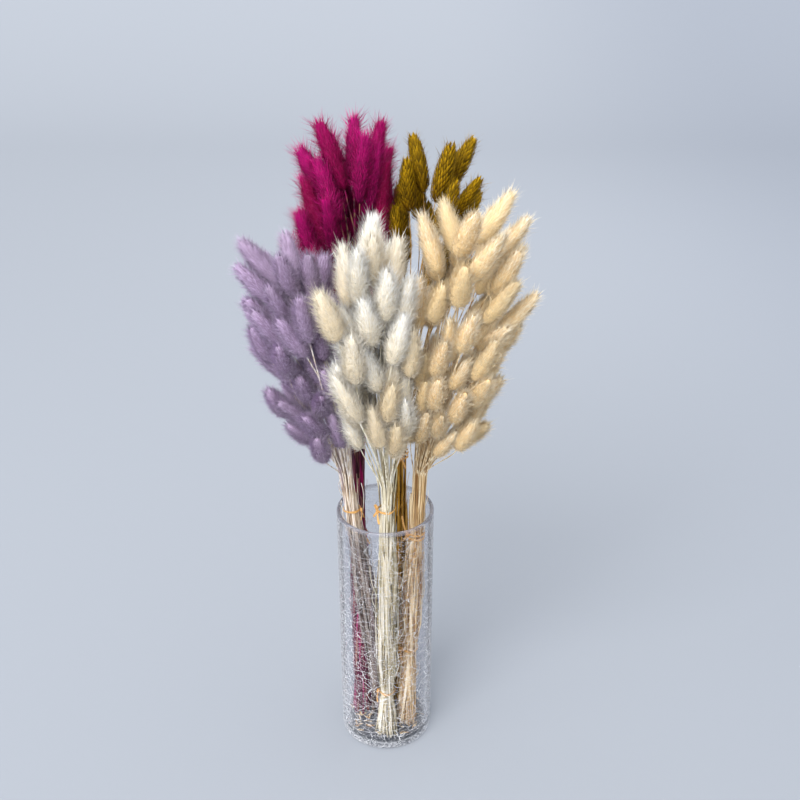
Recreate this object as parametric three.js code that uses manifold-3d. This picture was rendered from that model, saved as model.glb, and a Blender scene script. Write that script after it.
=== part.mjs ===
// Dried bunny tail grass: five tied bunches, each dyed or bleached in its own colour, standing in a
// tall cylinder vase of crackle glass. Millimetres, +Z up, -Y is the front. The origin is the middle
// of the vase's underside.

import * as THREE from "three";
import { mergeVertices } from "three/addons/utils/BufferGeometryUtils.js";
import Module from "manifold-3d";

const wasm = await Module();
wasm.setup();

const degrees = (angle) => (angle * Math.PI) / 180;

// The vase.
const VASE_HEIGHT = 295;
const VASE_RADIUS = 52;
const WALL = 4;
const FLOOR = 12;
const FOOT_ROUNDING = 5;
const VASE_SIDES = 36;

// What rests on something keeps this gap to it.
const GAP = 0.3;

// Slivers thinner than this are smoothed away where pieces are fused.
const SLIVER = 0.08;

// A tied bundle of stems: it stands on the vase's floor and ends in the neck, above the rim.
const NECK_HEIGHT = 350;
const BUNDLE_RADIUS = 9.6;
const FLUTES = 11;
const FLUTE_DEPTH = 1.5;
// Share of the bundle's length, and its radius there as a share of BUNDLE_RADIUS.
const BUNDLE_PROFILE = [
  [0, 1.02],
  [0.16, 0.82],
  [0.5, 0.98],
  [0.94, 0.86],
  [1, 0.95],
];

// The free stems above the neck.
const STEM_RADIUS = 0.7;
const STEM_STEPS = 2;
const STEM_SIDES = 3;
const STEM_SINK = 6;
const ROOT_SPREAD = 1;
const STEM_START = 0.2;
const STEM_END = 0.25;

// A head is crowns of tufts, one out of the other: [share of length, share of half width] of the
// valley ring and of the tips above it.
const TUFTS_AROUND = 5;
const HEAD_TIERS = [
  { valley: [0.03, 0.36], tips: [0.4, 1.0] },
  { valley: [0.36, 0.7], tips: [0.76, 0.8] },
];

// The fan of heads: the level where it is widest, the level of the dome's top and the lowest heads'
// reach, all as shares, how far and how often a stray head stands out, how much less the heads in
// front lean, and how wide the lowest and the topmost heads are strewn round the fan.
const WIDEST_LEVEL = 0.68;
const DOME_TOP = 1.04;
const LOWEST_REACH = 0.72;
const STRAY_REACH = 1.3;
const STRAY_SHARE = 0.12;
const FORWARD_EASE = 0.6;
const STREWN = [degrees(120), degrees(180)];
const BEARING_DRIFT = 0.08;
// How much a head's reach and lean vary by chance, how the lean falls off towards the top, how much a
// head leans sideways by chance, how far the higher heads are the bigger ones, and the share of its
// length that a head's base stands further in.
const REACH_RANGE = [0.7, 1];
const LEAN_RANGE = [0.6, 1.4];
const LEAN_BY_RISE = [1.25, 0.75];
const SWAY = 0.3;
const SIZE_BY_RISE = 0.55;
const BASE_INSET = 0.2;

// A point is moved off the two sides of its bunch's sector in turn, this many times.
const CORNER_PASSES = 3;

// Heads of one bunch are pushed apart as three balls each, at these shares of their length, and the
// balls get smaller towards the tip.
const BALL_SHARES = [0.15, 0.5, 0.85];
const HEAD_TAPER = 0.3;
const CROWDING_PASSES = 60;
const PUSH_SHARE = 0.22;
const HEAD_GAP = 0.4;
// Points of a stem that keep other heads away, as shares of its length, how far they keep them, and
// how much of the push moves the stem's own head.
const STEM_SHARES = [0.4, 0.55, 0.7, 0.85, 0.96];
const STEM_CLEARANCE = 2.4;
const STEM_PULL = 0.35;

// Ties of twisted raffia.
const TIE_THICKNESS = 1.5;
const TIE_WIDTH = 2.4;
const TIE_SIDES = 4;
const TIE_STEPS = 10;
const KNOT_RADIUS = 2;
const TAIL_LENGTH = 13;
const TAIL_THICKNESS = 1;
const TAIL_LEANS = [-32, 26];

// The five bunches. foot and neck are x and y of the bundle's two ends, shoulder and crown are the
// points that the fan of heads follows above the neck, and sector is the slice round the vase's axis
// that the bunch keeps to, in degrees from the front towards +X. lowest is where its lowest head sits,
// as a share of the way to the crown, reach the fan's widest radius, flare how far its heads lean out,
// length and width the range of the heads, and ties the heights of the bands and the bearings of their
// knots.
const BUNCHES = [
  {
    name: "bunch_white",
    colour: 0xe9e3d6,
    foot: [1, -31],
    neck: [2, -39],
    shoulder: [-4, -43, 440],
    crown: [-12, -56, 568],
    sector: [-36, 27],
    heads: 36,
    lowest: 0.22,
    reach: 47,
    flare: 0.44,
    length: [42, 68],
    width: [15, 22],
    ties: [
      { height: 317, bearing: -60 },
      { height: 72, bearing: -85 },
    ],
    seed: 14,
  },
  {
    name: "bunch_natural",
    colour: 0xe0c79c,
    foot: [23, -14],
    neck: [36, -13],
    shoulder: [49, -27, 440],
    crown: [83, -44, 600],
    sector: [27, 107],
    heads: 54,
    lowest: 0.18,
    reach: 61,
    flare: 0.66,
    length: [36, 64],
    width: [14, 20],
    ties: [
      { height: 270, bearing: -62 },
      { height: 118, bearing: -75 },
    ],
    seed: 31,
  },
  {
    name: "bunch_mustard",
    colour: 0x8f7412,
    foot: [10, 23],
    neck: [15.5, 34],
    shoulder: [28, 46, 460],
    crown: [48, 70, 626],
    sector: [107, 175],
    heads: 21,
    lowest: 0.6,
    reach: 48,
    flare: 0.42,
    length: [44, 62],
    width: [14, 19],
    ties: [{ height: 342, bearing: 10 }],
    seed: 37,
  },
  {
    name: "bunch_magenta",
    colour: 0x8c0f5c,
    foot: [-29.5, 5],
    neck: [-29, 26],
    shoulder: [-30, 44, 465],
    crown: [-30, 76, 626],
    sector: [175, 253],
    heads: 34,
    lowest: 0.56,
    reach: 58,
    flare: 0.55,
    length: [54, 78],
    width: [15, 21],
    ties: [{ height: 250, bearing: 30 }],
    seed: 59,
  },
  {
    name: "bunch_lavender",
    colour: 0x8f7a99,
    foot: [-3.5, -2.5],
    neck: [-40.5, -13],
    shoulder: [-56, -21, 440],
    crown: [-86, -36, 562],
    sector: [-107, -36],
    heads: 42,
    lowest: 0.17,
    reach: 50,
    flare: 0.5,
    length: [36, 56],
    width: [15, 21],
    ties: [{ height: 301, bearing: 75 }],
    seed: 71,
  },
];

const GOLDEN = (Math.sqrt(5) - 1) / 2;
const mix = (a, b, share) => a + (b - a) * share;
const between = (range, share) => mix(range[0], range[1], share);

// A seeded draw from 0 to 1.
function chance(seed, index, kind) {
  const value = Math.sin(seed * 78.233 + index * 12.9898 + kind * 37.719) * 43758.5453;
  return value - Math.floor(value);
}

// The unit vector on the ground plane at a bearing from the front towards +X.
function towards(bearing) {
  return new THREE.Vector3(Math.sin(bearing), -Math.cos(bearing), 0);
}

// Moves a point into the bunch's sector, at least margin from its two side planes.
function keepInSector(point, bunch, margin) {
  const [low, high] = bunch.sector.map(degrees);
  const inward = [towards(low + Math.PI / 2), towards(high - Math.PI / 2)];
  for (let pass = 0; pass < CORNER_PASSES; pass++) {
    for (const normal of inward) {
      const short = margin - normal.dot(point);
      if (short > 0) point.addScaledVector(normal, short);
    }
  }
  return point;
}

// A closed solid from rings of points, each counter-clockwise seen from the top, and its two ends. The
// strip between two rings takes a triangle from each of their edges, also where one has more points.
function stackRings(rings, bottom, top) {
  const points = [bottom, ...rings.flat(), top];
  const starts = rings.map((_, r) => 1 + rings.slice(0, r).reduce((sum, below) => sum + below.length, 0));
  const at = (r, k) => starts[r] + (k % rings[r].length);
  const faces = [];
  for (let k = 0; k < rings[0].length; k++) faces.push(0, at(0, k + 1), at(0, k));
  for (let r = 0; r + 1 < rings.length; r++) {
    const [low, high] = [rings[r].length, rings[r + 1].length];
    for (let i = 0, j = 0; i + j < low + high; ) {
      if ((i + 0.5) / low <= (j + 0.5) / high) {
        faces.push(at(r, i), at(r, i + 1), at(r + 1, j));
        i += 1;
      } else {
        faces.push(at(r, i), at(r + 1, j + 1), at(r + 1, j));
        j += 1;
      }
    }
  }
  const last = rings.length - 1;
  for (let k = 0; k < rings[last].length; k++) {
    faces.push(points.length - 1, at(last, k), at(last, k + 1));
  }
  const geometry = new THREE.BufferGeometry().setFromPoints(points);
  geometry.setIndex(faces);
  return geometry;
}

function toSolid(geometry) {
  const bare = geometry.clone();
  bare.deleteAttribute("normal");
  bare.deleteAttribute("uv");
  const merged = mergeVertices(bare, 1e-4);
  return new wasm.Manifold(
    new wasm.Mesh({
      numProp: 3,
      vertProperties: merged.attributes.position.array,
      triVerts: new Uint32Array(merged.index.array),
    }),
  );
}

// Joins closed pieces in one solid. Hollows that the joining seals are filled, and loose scraps dropped.
function fuse(geometries) {
  const joined = geometries
    .map(toSolid)
    .reduce((sum, solid) => sum.add(solid))
    .simplify(SLIVER);
  const [whole] = joined.decompose().sort((a, b) => b.volume() - a.volume());
  const mesh = whole.getMesh();
  return new THREE.BufferGeometry()
    .setAttribute("position", new THREE.BufferAttribute(mesh.vertProperties, 3))
    .setIndex(new THREE.BufferAttribute(mesh.triVerts, 1));
}

// Two unit vectors across a direction, the first as near to hint as it can be.
function across(direction, hint) {
  const first = hint.clone().addScaledVector(direction, -hint.dot(direction)).normalize();
  return [first, new THREE.Vector3().crossVectors(direction, first)];
}

// count points round a centre. Every other one is set in by inset.
function ring(centre, first, second, count, radius, turn = 0, inset = 0) {
  return Array.from({ length: count }, (_, k) => {
    const angle = (2 * Math.PI * k) / count + turn;
    const out = radius - (k % 2) * inset;
    return centre
      .clone()
      .addScaledVector(first, out * Math.cos(angle))
      .addScaledVector(second, out * Math.sin(angle));
  });
}

// The glass: a cylinder with a thick floor, a rounded foot and a fire-polished rim.
function vase() {
  const inner = VASE_RADIUS - WALL;
  const profile = [new THREE.Vector2(0, 0)];
  for (const angle of [-90, -45, 0].map(degrees)) {
    profile.push(
      new THREE.Vector2(
        VASE_RADIUS - FOOT_ROUNDING + FOOT_ROUNDING * Math.cos(angle),
        FOOT_ROUNDING + FOOT_ROUNDING * Math.sin(angle),
      ),
    );
  }
  for (const angle of [0, 60, 120, 180].map(degrees)) {
    profile.push(
      new THREE.Vector2(
        VASE_RADIUS - WALL / 2 + (WALL / 2) * Math.cos(angle),
        VASE_HEIGHT - WALL / 2 + (WALL / 2) * Math.sin(angle),
      ),
    );
  }
  profile.push(new THREE.Vector2(inner, FLOOR + 2), new THREE.Vector2(inner - 2, FLOOR));
  profile.push(new THREE.Vector2(0, FLOOR));
  return new THREE.LatheGeometry(profile, VASE_SIDES).rotateX(Math.PI / 2);
}

// The two ends of a bunch's bundle of stems, and its unit direction.
function bundleLine(bunch) {
  const low = new THREE.Vector3(...bunch.foot, FLOOR + GAP);
  const high = new THREE.Vector3(...bunch.neck, NECK_HEIGHT);
  return { low, high, up: high.clone().sub(low).normalize() };
}

function bundleRadius(share) {
  const next = BUNDLE_PROFILE.findIndex(([along]) => along >= share);
  if (next <= 0) return BUNDLE_RADIUS * BUNDLE_PROFILE[0][1];
  const [from, to] = [BUNDLE_PROFILE[next - 1], BUNDLE_PROFILE[next]];
  return BUNDLE_RADIUS * mix(from[1], to[1], (share - from[0]) / (to[0] - from[0]));
}

// The bundle: level rings whose flutes are the stems that lie side by side.
function bundle(bunch) {
  const { low, high } = bundleLine(bunch);
  const [east, north] = [new THREE.Vector3(1, 0, 0), new THREE.Vector3(0, 1, 0)];
  const rings = BUNDLE_PROFILE.map(([share, size]) => {
    const centre = low.clone().lerp(high, share);
    return ring(centre, east, north, 2 * FLUTES, BUNDLE_RADIUS * size, 0, FLUTE_DEPTH);
  });
  return stackRings(rings, low, high);
}

// The line that a bunch's fan of heads follows above the neck.
function crownLine(bunch) {
  const { high } = bundleLine(bunch);
  return new THREE.QuadraticBezierCurve3(
    high,
    new THREE.Vector3(...bunch.shoulder),
    new THREE.Vector3(...bunch.crown),
  );
}

// The curve of a stem, from its root in the bundle's neck to the base of its head.
function stemCurve({ base, tip, root }, bunch) {
  const ahead = tip.clone().sub(base).normalize();
  const start = crownLine(bunch).getTangent(0);
  const rise = base.distanceTo(root);
  const controls = [
    root,
    root.clone().addScaledVector(start, rise * STEM_START),
    base.clone().addScaledVector(ahead, -rise * STEM_END),
    base,
  ];
  return new THREE.CubicBezierCurve3(
    ...controls.map((point) => keepInSector(point, bunch, STEM_RADIUS + GAP)),
  );
}

// The fan's radius at a share of the way to the crown, as a share of the bunch's reach: it opens up to
// the widest level and closes in a dome above it.
function dome(along, { lowest }) {
  if (along < WIDEST_LEVEL) return mix(LOWEST_REACH, 1, (along - lowest) / (WIDEST_LEVEL - lowest));
  return Math.sqrt(1 - ((along - WIDEST_LEVEL) / (DOME_TOP - WIDEST_LEVEL)) ** 2);
}

// Where a head's stem leaves the bundle: on the head's own side, and the further out the more the
// stem leans, so that the stems don't cross.
function stemRoot({ base, along }, bunch) {
  const { high: neck, up } = bundleLine(bunch);
  const side = base.clone().sub(crownLine(bunch).getPoint(along));
  const lean = Math.min(1, side.length() / (along * bunch.reach * ROOT_SPREAD));
  side.addScaledVector(up, -side.dot(up)).normalize();
  const out = (bundleRadius(1) - FLUTE_DEPTH - STEM_RADIUS) * lean;
  return neck.clone().addScaledVector(up, -STEM_SINK).addScaledVector(side, out);
}

// Pushes the heads of a bunch off one another and off the other heads' stems.
function spreadHeads(places, bunch) {
  for (let pass = 0; pass < CROWDING_PASSES; pass++) {
    const balls = places.flatMap(({ base, tip, width }, head) =>
      BALL_SHARES.map((share) => ({
        head,
        share,
        centre: base.clone().lerp(tip, share),
        radius: (width / 2) * (1 - HEAD_TAPER * share),
        push: new THREE.Vector3(),
      })),
    );
    const stems = places.flatMap((place, head) => {
      const curve = stemCurve({ ...place, root: stemRoot(place, bunch) }, bunch);
      return STEM_SHARES.map((share) => ({
        head,
        share,
        centre: curve.getPoint(share),
        push: new THREE.Vector3(),
      }));
    });
    for (const a of balls) {
      for (const b of balls) {
        if (a.head === b.head) continue;
        const away = a.centre.clone().sub(b.centre);
        const overlap = a.radius + b.radius + HEAD_GAP - away.length();
        if (overlap > 0) a.push.addScaledVector(away.normalize(), overlap * PUSH_SHARE);
      }
      for (const stem of stems) {
        if (a.head === stem.head) continue;
        const away = a.centre.clone().sub(stem.centre);
        const overlap = a.radius + STEM_CLEARANCE - away.length();
        if (overlap <= 0) continue;
        away.normalize().multiplyScalar(overlap * PUSH_SHARE);
        a.push.add(away);
        stem.push.addScaledVector(away, -stem.share);
      }
    }
    for (const { head, share, push } of balls) {
      places[head].base.addScaledVector(push, 1 - share);
      places[head].tip.addScaledVector(push, share);
    }
    for (const { head, push } of stems) {
      places[head].base.addScaledVector(push, STEM_PULL);
      places[head].tip.addScaledVector(push, STEM_PULL);
    }
    for (const { base, tip, width, length } of places) {
      const direction = tip.clone().sub(base).normalize();
      tip.copy(base).addScaledVector(direction, length);
      keepInSector(base, bunch, width / 2 + GAP);
      keepInSector(tip, bunch, width / 2 + GAP);
    }
  }
  return places;
}

// Where each head of a bunch sits: its base, tip and width, and where its stem leaves the bundle.
function headPlaces(bunch) {
  const line = crownLine(bunch);
  const outward = towards(degrees((bunch.sector[0] + bunch.sector[1]) / 2));
  const places = [];
  for (let i = 0; i < bunch.heads; i++) {
    const draw = (kind) => chance(bunch.seed, i, kind);
    const rise = (i + 0.5) / bunch.heads;
    const along = mix(bunch.lowest, 1, rise);
    const tangent = line.getTangent(along);
    const [first, second] = across(tangent, outward);
    const spread = between(STREWN, rise * rise);
    const turn = spread * (2 * ((i * GOLDEN + draw(0) * BEARING_DRIFT) % 1) - 1);
    const radial = first
      .clone()
      .multiplyScalar(Math.cos(turn))
      .addScaledVector(second, Math.sin(turn));
    const stray = draw(1) < STRAY_SHARE ? STRAY_REACH : 1;
    const reach = bunch.reach * dome(along, bunch) * between(REACH_RANGE, draw(2)) * stray;
    const lean = bunch.flare * between(LEAN_RANGE, draw(3)) * between(LEAN_BY_RISE, rise);
    const forward = Math.max(0, -radial.y) * FORWARD_EASE;
    const sideways = new THREE.Vector3().crossVectors(tangent, radial);
    const direction = tangent
      .clone()
      .addScaledVector(radial, lean * (1 - forward))
      .addScaledVector(sideways, SWAY * (2 * draw(6) - 1))
      .normalize();
    const width = between(bunch.width, mix(draw(4), rise, SIZE_BY_RISE));
    const length = between(bunch.length, mix(draw(5), rise, SIZE_BY_RISE));
    const base = line.getPoint(along).addScaledVector(radial, reach - length * BASE_INSET);
    const tip = base.clone().addScaledVector(direction, length);
    places.push({ base, tip, width, length, along });
  }
  return spreadHeads(places, bunch).map((place) => ({ ...place, root: stemRoot(place, bunch) }));
}

// A stem and its head in one solid: a thin stalk that opens into crowns of pointed tufts.
function stalk({ base, tip, width, root }, bunch) {
  const direction = tip.clone().sub(base);
  const curve = stemCurve({ base, tip, root }, bunch);
  const rings = [];
  let [first, second] = across(curve.getTangent(0), new THREE.Vector3(1, 0, 0));
  for (let k = 0; k <= STEM_STEPS; k++) {
    [first, second] = across(curve.getTangent(k / STEM_STEPS), first);
    rings.push(ring(curve.getPoint(k / STEM_STEPS), first, second, STEM_SIDES, STEM_RADIUS));
  }
  const step = Math.PI / TUFTS_AROUND;
  HEAD_TIERS.forEach(({ valley, tips }, tier) => {
    [valley, tips].forEach(([along, wide], k) => {
      const centre = base.clone().addScaledVector(direction, along);
      rings.push(ring(centre, first, second, TUFTS_AROUND, (wide * width) / 2, (tier + k) * step));
    });
  });
  return stackRings(rings, root, tip);
}

// A band round the bundle with a knot and two tails on the side at the bearing.
function tie(bunch, { height, bearing }) {
  const { low, high } = bundleLine(bunch);
  const share = (height - low.z) / (high.z - low.z);
  const centre = low.clone().lerp(high, share);
  const radius = bundleRadius(share) + GAP + TIE_THICKNESS / 2;
  const bandRadius = radius / Math.cos(Math.PI / TIE_STEPS);
  const band = new THREE.TorusGeometry(bandRadius, TIE_THICKNESS / 2, TIE_SIDES, TIE_STEPS);
  band.scale(1, 1, TIE_WIDTH / TIE_THICKNESS).translate(...centre);
  const outward = towards(degrees(bearing));
  const knotPlace = centre.clone().addScaledVector(outward, radius + KNOT_RADIUS / 2);
  const knot = new THREE.IcosahedronGeometry(KNOT_RADIUS).translate(...knotPlace);
  const tails = TAIL_LEANS.map((lean) =>
    new THREE.BoxGeometry(TIE_THICKNESS, TAIL_THICKNESS, TAIL_LENGTH)
      .translate(0, 0, -TAIL_LENGTH / 2)
      .rotateY(degrees(lean))
      .rotateZ(degrees(bearing))
      .translate(...knotPlace),
  );
  return fuse([band, knot, ...tails]);
}

const glass = new THREE.MeshStandardMaterial({
  color: 0xdfe6ea,
  roughness: 0.08,
  metalness: 0,
  transparent: true,
  opacity: 0.35,
});
const raffia = new THREE.MeshStandardMaterial({ color: 0xc99a55, roughness: 0.8, metalness: 0 });

const arrangement = new THREE.Group();

function addMesh(name, geometry, material) {
  const mesh = new THREE.Mesh(geometry, material);
  mesh.name = name;
  arrangement.add(mesh);
}

addMesh("vase", vase(), glass);
for (const bunch of BUNCHES) {
  const places = headPlaces(bunch);
  const parts = [bundle(bunch), ...places.map((place) => stalk(place, bunch))];
  const grass = new THREE.MeshStandardMaterial({ color: bunch.colour, roughness: 0.95, metalness: 0 });
  addMesh(bunch.name, fuse(parts), grass);
  bunch.ties.forEach((place, k) => addMesh(`${bunch.name}_tie_${k + 1}`, tie(bunch, place), raffia));
}

export default arrangement;
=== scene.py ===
# Dried bunny tail grass: five tied bunches, each bleached or dyed in its own colour, standing in a tall
# cylinder vase of crackle glass. Layout in millimetres as in the part's source, meshes in metres.

import math

import bmesh
import bpy
import numpy as np
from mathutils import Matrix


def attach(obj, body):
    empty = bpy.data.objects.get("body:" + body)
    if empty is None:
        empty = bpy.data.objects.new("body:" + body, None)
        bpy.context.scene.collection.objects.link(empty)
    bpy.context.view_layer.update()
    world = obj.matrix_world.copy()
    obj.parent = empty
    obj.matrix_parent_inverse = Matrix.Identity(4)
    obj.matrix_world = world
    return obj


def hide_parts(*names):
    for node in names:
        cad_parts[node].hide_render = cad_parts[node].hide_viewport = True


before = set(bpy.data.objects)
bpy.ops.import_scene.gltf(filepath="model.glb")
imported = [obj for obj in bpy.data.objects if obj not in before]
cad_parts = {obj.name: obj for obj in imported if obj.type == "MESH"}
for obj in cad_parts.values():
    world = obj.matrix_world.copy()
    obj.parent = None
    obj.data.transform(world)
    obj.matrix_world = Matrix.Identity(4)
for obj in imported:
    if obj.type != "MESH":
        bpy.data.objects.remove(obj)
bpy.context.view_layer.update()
bpy.ops.object.select_all(action="DESELECT")

MM = 0.001
GOLDEN = (math.sqrt(5) - 1) / 2

# The vase.
VASE_HEIGHT = 295
VASE_RADIUS = 52
WALL = 4
FLOOR = 12
FOOT_ROUNDING = 5
FLOOR_ROUNDING = 2
RIM_ROUNDING = 0.46 * WALL
GAP = 0.3

# The stage, in metres: the side of its floor, the height of its back and the sweep between them.
STAGE_SIDE = 12
STAGE_BACK = 5
STAGE_SWEEP = 3
LAMP_WHITE = (0.97, 0.98, 1.0)

# The bundles, the fan of heads and the crowding, with the values of the part's source.
NECK_HEIGHT = 350
BUNDLE_RADIUS = 9.6
FLUTE_DEPTH = 1.5
BUNDLE_PROFILE = [(0, 1.02), (0.16, 0.82), (0.5, 0.98), (0.94, 0.86), (1, 0.95)]
STEM_RADIUS = 0.7
STEM_SINK = 6
STEM_START = 0.2
STEM_END = 0.25
WIDEST_LEVEL = 0.68
DOME_TOP = 1.04
LOWEST_REACH = 0.72
STRAY_REACH = 1.3
STRAY_SHARE = 0.12
FORWARD_EASE = 0.6
STREWN = (math.radians(120), math.radians(180))
BEARING_DRIFT = 0.08
REACH_RANGE = (0.7, 1)
LEAN_RANGE = (0.6, 1.4)
LEAN_BY_RISE = (1.25, 0.75)
SWAY = 0.3
SIZE_BY_RISE = 0.55
BASE_INSET = 0.2
CORNER_PASSES = 3
BALL_SHARES = (0.15, 0.5, 0.85)
HEAD_TAPER = 0.3
CROWDING_PASSES = 60
PUSH_SHARE = 0.22
HEAD_GAP = 0.4
STEM_SHARES = (0.4, 0.55, 0.7, 0.85, 0.96)
STEM_CLEARANCE = 2.4
STEM_PULL = 0.35

# The stems slacken below LOOSE_FROM, up to LOOSENESS wider from LOOSE_AT down. A tie squeezes them
# over TIE_REACH, and keeps the slack off over SLACK_REACH and the sway over SWAY_REACH. At the foot
# they splay by FOOT_SPLAY, which fades over FOOT_RISE.
LOOSE_FROM = 285
LOOSE_AT = 190
LOOSENESS = 0.27
TIE_SQUEEZE = 0.13
TIE_REACH = 15
SLACK_REACH = 26
SWAY_REACH = 18
FOOT_SPLAY = 0.1
FOOT_RISE = 14

# The straws, leaf sheaths, loose fibres and fallen bits. A pair is the least and the greatest.
# STRAW_TAPER says how thick a stem is at points along its line, SHEATHS how many a bunch has and how
# wide they are, and the wisps how long and how thick they are.
STRAW_RADIUS = (0.6, 1.2)
STRAW_TAPER = ((0, 3, 12, 20), (1.15, 1.0, 0.88, 0.65))
STRAW_SHARES = (0, 0.03, 0.08, 0.15, 0.22, 0.31, 0.42, 0.54, 0.65, 0.75, 0.84, 0.91, 0.982)
CROWN_SHARES = (0.1, 0.22, 0.36, 0.52, 0.68, 0.84, 1.0)
HELD_IN_HEAD = 0.3
STRAW_TWIST = 0.5
STRAW_SWAY = 1.1
FOOT_SCATTER = 1.6
FOOT_LIFT = (0.3, 2.5)
BARE_STRAWS = 40
BROKEN_REACH = (8, 55)
SHEATHS = {"white": (26, (3.0, 6.5)), "natural": (16, (2.0, 4.0)), "mustard": (14, (2.5, 5.0)),
           "magenta": (14, (2.0, 4.5)), "lavender": (16, (1.8, 3.8))}
SHEATH_FOOT = (16, 250)
SHEATH_LENGTH = (70, 190)
SHEATH_TOP = 372
SHEATH_STEP = 14
SHEATH_THICKNESS = 0.18
SHEATH_OFF = 0.35
CURL_FROM = 0.82
CURL = (0, 26)
WISPS = 34
WISP_FOOT = (20, 330)
WISP_POINTS = 7
WISP_SHADE = 0.85
LONG_WISP = ((35, 70), 0.5)
SHORT_WISP = ((8, 26), 0.26)
BITS = 110
BIT_LENGTH = (2, 9)
BIT_SPREAD = 44
BIT_THICKNESS = 0.25
BIT_REACH = 46

# The raffia. TAILS are a tie's ends: the lean of each from hanging straight in degrees, its length,
# how far it stands off and how far it is turned in radians. TIES_APART says what is different at a
# bunch's tie.
RAFFIA_WIDTH = 2.1
KNOT_WIDTH = 1.9
RAFFIA_THICKNESS = 0.5
RAFFIA_OFF = 1.5
KNOT_OFF = 0.9
WRAP_RISE = 5.2
TAILS = ((-32, 11, 0, 0), (26, 13, 0, 0))
TIES_APART = {
    ("white", 1): dict(bow=-1),
    ("natural", 1): dict(wraps=2, tails=((-32, 12, 0, 0), (180, 26, 4, 1))),
    ("mustard", 1): dict(wraps=2),
}

# The bunches, with the values of the part's source. foot and neck are x and y of the bundle's ends,
# shoulder and crown the points that the fan of heads follows above the neck, sector the slice round
# the vase's axis that the bunch keeps to, lowest where its lowest head sits, reach the fan's widest
# radius, flare how far its heads lean out, length and width the range of the heads, and ties the
# heights of the bands and the bearings of their knots.
BUNCHES = {
    "white": dict(
        foot=(1, -31), neck=(2, -39), shoulder=(-4, -43, 440), crown=(-12, -56, 568),
        sector=(-36, 27), heads=36, lowest=0.22, reach=47, flare=0.44,
        length=(42, 68), width=(15, 22), ties=((317, -60), (72, -85)), seed=14,
    ),
    "natural": dict(
        foot=(23, -14), neck=(36, -13), shoulder=(49, -27, 440), crown=(83, -44, 600),
        sector=(27, 107), heads=54, lowest=0.18, reach=61, flare=0.66,
        length=(36, 64), width=(14, 20), ties=((270, -62), (118, -75)), seed=31,
    ),
    "mustard": dict(
        foot=(10, 23), neck=(15.5, 34), shoulder=(28, 46, 460), crown=(48, 70, 626),
        sector=(107, 175), heads=21, lowest=0.6, reach=48, flare=0.42,
        length=(44, 62), width=(14, 19), ties=((342, 10),), seed=37,
    ),
    "magenta": dict(
        foot=(-29.5, 5), neck=(-29, 26), shoulder=(-30, 44, 465), crown=(-30, 76, 626),
        sector=(175, 253), heads=34, lowest=0.56, reach=58, flare=0.55,
        length=(54, 78), width=(15, 21), ties=((250, 30),), seed=59,
    ),
    "lavender": dict(
        foot=(-3.5, -2.5), neck=(-40.5, -13), shoulder=(-56, -21, 440), crown=(-86, -36, 562),
        sector=(-107, -36), heads=42, lowest=0.17, reach=50, flare=0.5,
        length=(36, 56), width=(15, 21), ties=((301, 75),), seed=71,
    ),
}

# How the heads of each bunch are haired. waist and fill shape the body and core is its share of the
# head's width. Tufts sit all over it, each with so many locks and finer hairs of down. hair is the
# down's length and width in millimetres, lock the width of a lock, lift how far the down stands off.
# Strays stand off further, and bristles are the long hairs that fan out. Husks are the scales of a
# coarse head. SWELL is how much wider the soft hair makes a head than its solid.
SWELL = 1.16
HAIR = {
    "white": dict(
        waist=0.66, fill=0.7, core=0.74, tufts=230, locks=2, down=9, hair=(8.5, 0.36), lock=0.75,
        lift=0.6, strays=700, bristles=300, bristle=(15, 0.34), fan=0.65, husks=0,
    ),
    "natural": dict(
        waist=0.66, fill=0.66, core=0.76, tufts=170, locks=2, down=8, hair=(7.0, 0.36), lock=0.75,
        lift=0.6, strays=600, bristles=150, bristle=(12, 0.3), fan=0.7, husks=0,
    ),
    "mustard": dict(
        waist=0.78, fill=0.5, core=0.66, tufts=120, locks=1, down=7, hair=(7.0, 0.32), lock=0.6,
        lift=0.45, strays=300, bristles=220, bristle=(12, 0.34), fan=0.8, husks=190,
    ),
    "magenta": dict(
        waist=0.8, fill=0.46, core=0.7, tufts=220, locks=2, down=9, hair=(8.0, 0.36), lock=0.75,
        lift=0.42, strays=340, bristles=520, bristle=(15.5, 0.38), fan=0.95, husks=0,
    ),
    "lavender": dict(
        waist=0.7, fill=0.6, core=0.72, tufts=200, locks=2, down=9, hair=(7.0, 0.36), lock=0.7,
        lift=0.8, strays=850, bristles=170, bristle=(11, 0.36), fan=1.0, husks=0,
    ),
}

# How heads and hairs vary. A pair is the least and the greatest, of the husks in millimetres and
# otherwise as a share of what varies. CROWD_ROUND and HAIR_ROLL are in radians.
HEAD_BEND = (0.02, 0.08)
FULLNESS = (0.9, 1.08)
WAIST_VARIES = (0.9, 1.12)
FILL_VARIES = (0.85, 1.2)
LIFT_VARIES = (0.3, 1.7)
LENGTH_VARIES = (0.6, 1.25)
LENGTH_ALONG = (0.6, 1.15)
WIDTH_VARIES = (0.8, 1.2)
CROWD_ALONG = 0.018
CROWD_ROUND = 0.16
HAIR_ROLL = 0.9
HAIR_SUNK = 0.97
CORE_TOP = 0.94
HUSK_LENGTH = (6.5, 9.0)
HUSK_WIDTH = (1.8, 2.4)
MAP_EDGE = 0.04

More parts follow.
